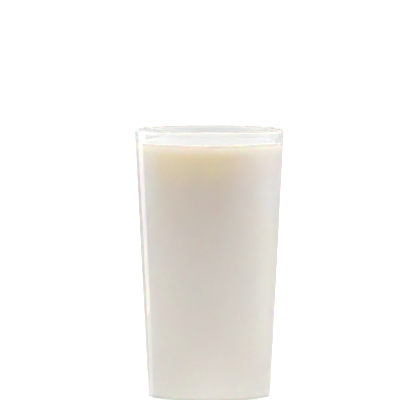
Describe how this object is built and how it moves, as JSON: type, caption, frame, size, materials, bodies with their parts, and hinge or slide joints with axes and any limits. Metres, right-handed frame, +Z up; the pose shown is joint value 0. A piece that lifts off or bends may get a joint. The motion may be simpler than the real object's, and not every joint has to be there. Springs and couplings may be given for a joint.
{
  "type": "glass of milk",
  "caption": "Tall straight-sided clear glass tumbler with a thick base and rounded rim, filled with milk to just below the rim.",
  "frame": {"origin": "centre of the flat foot, on the surface the glass stands on", "axes": "+Z up along the glass's axis; the glass is the same all round, so +X and +Y are any two level directions"},
  "size_m": [0.0726, 0.0726, 0.138],
  "materials": {
    "glass": "clear colourless pressed glass, smooth and glossy",
    "milk": "whole milk, opaque creamy white, warmer just under the surface, wet and glossy on top"
  },
  "bodies": {
    "root": {"glass": "glass", "milk": "milk"}
  },
  "joints": []
}
